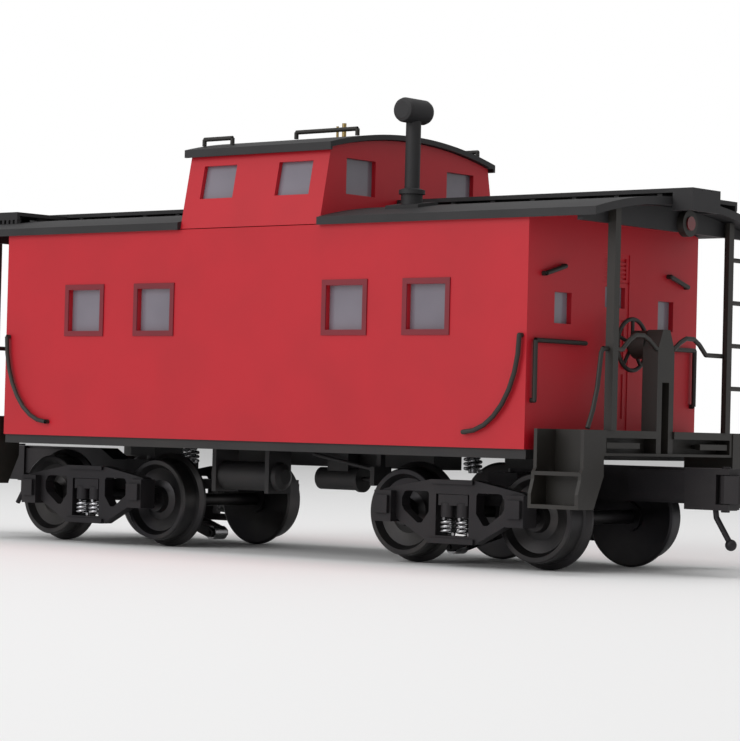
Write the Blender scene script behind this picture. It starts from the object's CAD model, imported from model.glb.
import bpy
import math
from mathutils import Matrix, Vector

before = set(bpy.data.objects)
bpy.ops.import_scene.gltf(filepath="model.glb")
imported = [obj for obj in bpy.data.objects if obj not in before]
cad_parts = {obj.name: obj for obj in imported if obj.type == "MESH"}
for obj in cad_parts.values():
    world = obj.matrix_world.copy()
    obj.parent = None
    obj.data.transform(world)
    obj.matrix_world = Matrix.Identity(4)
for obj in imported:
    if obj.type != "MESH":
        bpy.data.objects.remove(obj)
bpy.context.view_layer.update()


# ------------------------------------------------------------ paint shop tools
def paint_colour(hex_code):
    """sRGB hex to the linear colour that a shader wants."""
    shares = [int(hex_code[i:i + 2], 16) / 255 for i in (0, 2, 4)]
    linear = [c / 12.92 if c <= 0.04045 else ((c + 0.055) / 1.055) ** 2.4 for c in shares]
    return linear + [1.0]


def add(tree, kind, settings=None, links=None):
    """One node with its socket values, fed by {input: source socket}."""
    made = tree.nodes.new(kind)
    for name, value in (settings or {}).items():
        made.inputs[name].default_value = value
    for name, source in (links or {}).items():
        tree.links.new(source, made.inputs[name])
    return made


def finish_coat(name, base, worn, grain, rough,
                metallic=0.0, bump=0.15, coat=0.0, patch=60.0):
    """A coat whose colour drifts in patches, with fine grain in its gloss and surface."""
    gloss_swing = 0.07
    grain_depth = 0.00008
    material = bpy.data.materials.new(name)
    material.use_nodes = True
    tree = material.node_tree
    shader = tree.nodes["Principled BSDF"]
    place = add(tree, "ShaderNodeTexCoord")
    drift = add(tree, "ShaderNodeTexNoise", {"Scale": patch, "Detail": 3.0, "Roughness": 0.55},
                {"Vector": place.outputs["Object"]})
    fine = add(tree, "ShaderNodeTexNoise", {"Scale": grain, "Detail": 2.0, "Roughness": 0.6},
               {"Vector": place.outputs["Object"]})
    blend = tree.nodes.new("ShaderNodeValToRGB")
    blend.color_ramp.elements[0].position = 0.38
    blend.color_ramp.elements[0].color = paint_colour(base)
    blend.color_ramp.elements[1].position = 0.78
    blend.color_ramp.elements[1].color = paint_colour(worn)
    tree.links.new(drift.outputs["Fac"], blend.inputs["Fac"])
    tree.links.new(blend.outputs["Color"], shader.inputs["Base Color"])
    gloss = add(tree, "ShaderNodeMapRange",
                {"To Min": rough - gloss_swing, "To Max": rough + gloss_swing},
                {"Value": fine.outputs["Fac"]})
    tree.links.new(gloss.outputs["Result"], shader.inputs["Roughness"])
    texture = add(tree, "ShaderNodeBump", {"Strength": bump, "Distance": grain_depth},
                  {"Height": fine.outputs["Fac"]})
    tree.links.new(texture.outputs["Normal"], shader.inputs["Normal"])
    shader.inputs["Metallic"].default_value = metallic
    shader.inputs["Coat Weight"].default_value = coat
    return material


def dress(material, slot_name, *names):
    """Gives one finish to CAD nodes and names their slot."""
    for node_name in names:
        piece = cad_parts[node_name]
        piece.data.materials.clear()
        piece.data.materials.append(material)


# Car body, cupola walls and doors: thin moulded plastic walls, sprayed in one
# satin red coat after moulding, so the colour hardly drifts.
body_red = finish_coat("sprayed_red_body_paint", "BC0A20", "B2091D", 5200.0, 0.5,
                       bump=0.06)
dress(body_red, "red_paint", "body_shell", "cupola_shell", "end_doors")

# Window casings: thin raised rims moulded round each window, in the same coat
# but darker, because it lies thick in their corners.
casing_red = finish_coat("shaded_red_casing_paint", "7C1424", "6B101E", 5200.0, 0.48)
dress(casing_red, "dark_red_trim", "window_casings")

# Window panes: tinted clear plastic, moulded as strips and pressed in from
# inside, with a polished face.
pane = finish_coat("smoked_window_plastic", "827D87", "6E6A74", 2600.0, 0.18,
                   bump=0.02, coat=0.4, patch=35.0)
dress(pane, "glazing", "side_glazing", "end_glazing", "cupola_glazing")

# Roofs, running boards and smoke jack: moulded plastic pieces laid on the
# body, sprayed in a dry matt black.
roof_grey = finish_coat("matt_roof_black", "1C1B1D", "272628", 4200.0, 0.62, bump=0.25)
dress(roof_grey, "roof_paint", "cupola_roof", "roof_a", "roof_b", "roof_walks", "lateral_walks",
      "smoke_jack", "smoke_jack_head", "roof_fascias")

# Roof pins: small studs turned from brass rod and pushed into the cupola roof,
# dulled by handling.
pin_brass = finish_coat("dull_turned_brass", "B79F6B", "8F7A4C", 5200.0, 0.38, metallic=1.0)
dress(pin_brass, "pin_brass", "roof_pins")

# Platforms, steps, ladders, rails and brake gear: separate moulded fittings
# pegged to the body ends, in a brownish black.
platform_black = finish_coat("brown_black_platform_paint", "1F1C19", "2A2722", 4600.0, 0.5,
                             bump=0.2)
dress(platform_black, "black_paint", "cupola_grabs", "side_grabs", "end_grabs", "platform_decks",
      "end_sills", "corner_steps", "end_posts", "roof_ladders", "end_railings", "marker_lamps",
      "brake_stands", "cut_levers", "brake_wheel_a", "brake_wheel_b")

# Marker lenses: small jewels moulded in red plastic and pressed into the lamp
# bodies, with a glossy face.
lens_red = finish_coat("red_lamp_jewel", "6E0C14", "540910", 3000.0, 0.15, bump=0.01, coat=0.6)
dress(lens_red, "red_lens", "marker_lenses")

# Floor, sills, tank and brake cylinder: the castings and mouldings screwed
# under the body, in a dull dark grey.
under_grey = finish_coat("underfloor_grey_paint", "1E1D1F", "2A2826", 4200.0, 0.58, bump=0.25)
dress(under_grey, "underbody_paint", "floor_pan", "centre_sill", "body_bolsters", "air_tank",
      "tank_straps", "brake_cylinder", "brake_rigging")

# Springs, kingpins, studs and pickup rollers: wound or turned from steel and
# left bare and bright.
bright = finish_coat("bright_spring_steel", "B9B9BC", "8C8B8A", 6500.0, 0.28, metallic=1.0)
dress(bright, "bright_steel", "kingpins", "floor_studs", "springs_a", "springs_b",
      "pickup_roller_a", "pickup_roller_b")

# Trucks, couplers and pickup arms: die castings, chemically blackened, with a
# faint cast grain.
cast = finish_coat("blackened_die_casting", "252326", "343132", 3600.0, 0.48,
                   metallic=0.55, bump=0.3)
dress(cast, "cast_metal", "side_frames_a", "bolster_a", "coupler_a", "side_frames_b", "bolster_b",
      "coupler_b", "knuckle_a", "knuckle_b", "pickup_arm_a", "pickup_arm_b")

# Wheelsets: cast and then turned, blackened, and rubbed a little brighter by
# the rails.
tread = finish_coat("rubbed_wheel_metal", "2E2D30", "4A4846", 3600.0, 0.36, metallic=0.8, bump=0.15)
dress(tread, "wheel_metal", "wheelset_a1", "wheelset_a2", "wheelset_b1", "wheelset_b2")


# --------------------------------------------------------------------- studio
# A plain pale floor, a white room and two softboxes, one at the side and one
# above.
reach = 6
floor_mesh = bpy.data.meshes.new("studio_floor")
floor_mesh.from_pydata([(-reach, -reach, 0), (reach, -reach, 0), (reach, reach, 0),
                        (-reach, reach, 0)], [], [(0, 1, 2, 3)])
floor = bpy.data.objects.new("studio_floor", floor_mesh)
bpy.context.collection.objects.link(floor)
floor_white = bpy.data.materials.new("white_paper_sweep")
floor_white.use_nodes = True
paper = floor_white.node_tree.nodes["Principled BSDF"]
paper.inputs["Base Color"].default_value = (0.9, 0.9, 0.9, 1)
paper.inputs["Roughness"].default_value = 0.9
floor_mesh.materials.append(floor_white)

world = bpy.data.worlds.new("soft_white_room")
bpy.context.scene.world = world
world.use_nodes = True
room = world.node_tree
sky = room.nodes["Background"]
sky.inputs["Color"].default_value = (1, 1, 1, 1)
rays = add(room, "ShaderNodeLightPath")
level = add(room, "ShaderNodeMapRange", {"To Min": 0.5, "To Max": 1.0},
            {"Value": rays.outputs["Is Camera Ray"]})
room.links.new(level.outputs["Result"], sky.inputs["Strength"])


def soft_light(name, place, target, width, power):
    """A square studio light that faces one point."""
    lamp = bpy.data.lights.new(name, "AREA")
    lamp.size = width
    lamp.energy = power
    holder = bpy.data.objects.new(name, lamp)
    holder.location = place
    holder.rotation_euler = (Vector(target) - Vector(place)).to_track_quat("-Z", "Y").to_euler()
    bpy.context.collection.objects.link(holder)


car_middle = (0, 0, 0.04)
soft_light("side_softbox", (-0.25, -0.9, 0.55), car_middle, 0.7, 4.0)
soft_light("top_softbox", (0.1, 0.0, 1.1), car_middle, 0.9, 4.5)

# The camera stands low off one corner of the car and looks very slightly up.
yaw, pitch, roll = math.radians(39.65), math.radians(1.21), math.radians(1.42)
ahead = Vector((-math.sin(yaw) * math.cos(pitch), math.cos(yaw) * math.cos(pitch),
                math.sin(pitch)))
right = ahead.cross(Vector((0, 0, 1))).normalized()
up = right.cross(ahead)
image_x = right * math.cos(roll) + up * math.sin(roll)
image_y = up * math.cos(roll) - right * math.sin(roll)
turn = Matrix((image_x, image_y, -ahead)).transposed().to_4x4()
lens = bpy.data.cameras.new("studio_camera")
lens.sensor_width = 36.0
lens.lens = 133.84
lens.clip_start = 0.01
camera = bpy.data.objects.new("studio_camera", lens)
camera.matrix_world = Matrix.Translation((0.40985, -0.48261, 0.0286)) @ turn
bpy.context.collection.objects.link(camera)
bpy.context.scene.camera = camera
bpy.context.scene.view_settings.view_transform = "Standard"
